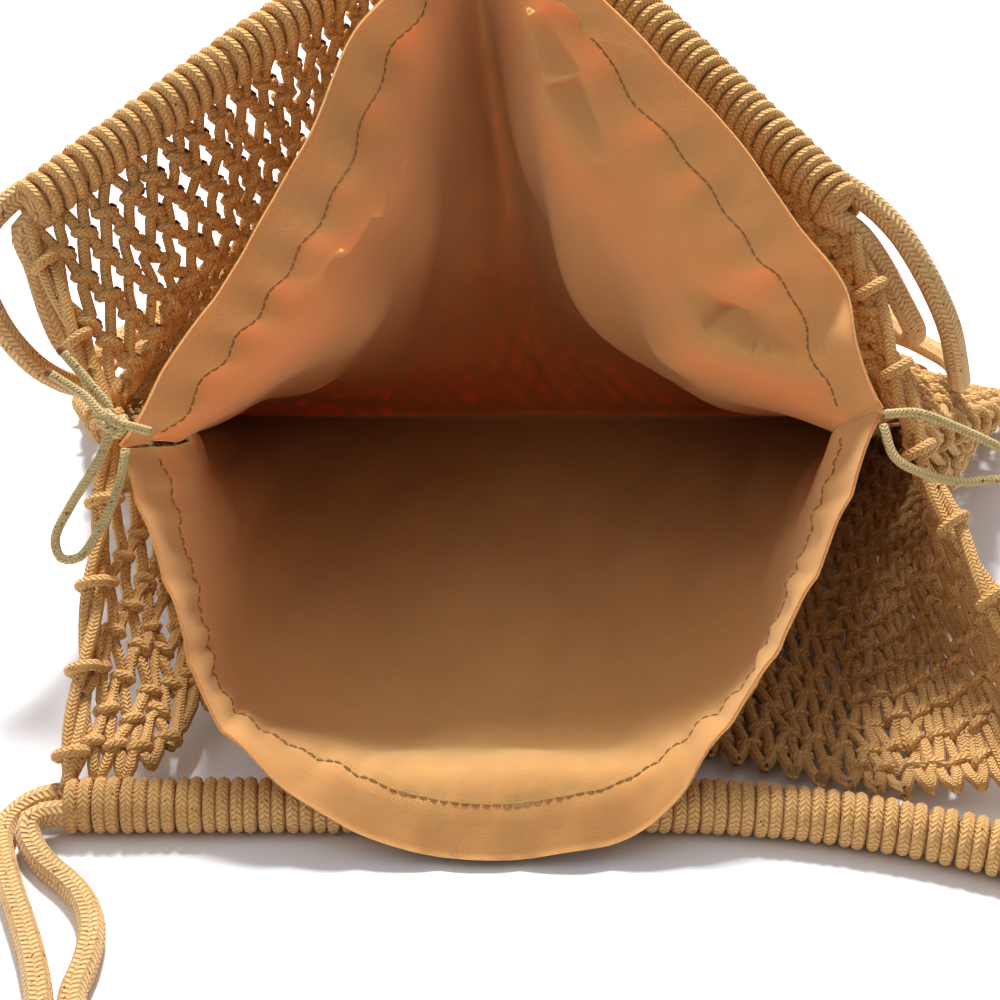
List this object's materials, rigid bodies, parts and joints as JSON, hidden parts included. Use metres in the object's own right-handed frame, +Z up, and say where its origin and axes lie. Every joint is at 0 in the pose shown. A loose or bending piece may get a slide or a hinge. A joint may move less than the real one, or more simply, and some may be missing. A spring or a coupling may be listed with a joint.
{
  "type": "knotted net tote bag with a drawstring lining",
  "caption": "Knotted cotton-rope net tote bag with a plain woven drawstring lining, lying on its side with its mouth open.",
  "frame": {"origin": "on the surface that the bag lies on, under the middle of the bag without its handles and drawstrings", "axes": "+X from the left side of the mouth to the right, +Y from the mouth to the bottom seam, +Z up"},
  "size_m": [0.4306, 0.4834, 0.2537],
  "materials": {
    "net_cord": "matt",
    "handle_rope": "matt",
    "lining_cloth": "matt",
    "drawstring_cord": "matt"
  },
  "bodies": {
    "root": {"rim_bar_front": "net_cord", "rim_bar_rear": "net_cord", "net_front": "net_cord", "net_rear": "net_cord", "edge_cord_left": "net_cord", "edge_cord_right": "net_cord", "seam_cord_left": "net_cord", "seam_cord_right": "net_cord", "seam_cord_bottom": "net_cord", "lining_floor": "lining_cloth", "lining_roof": "lining_cloth", "handle_front_outer": "handle_rope", "handle_front_inner": "handle_rope", "handle_rear_outer": "handle_rope", "handle_rear_inner": "handle_rope", "drawstring_left_loop": "drawstring_cord", "drawstring_left_short": "drawstring_cord", "drawstring_right_upper": "drawstring_cord", "drawstring_right_lower": "drawstring_cord"}
  },
  "joints": []
}
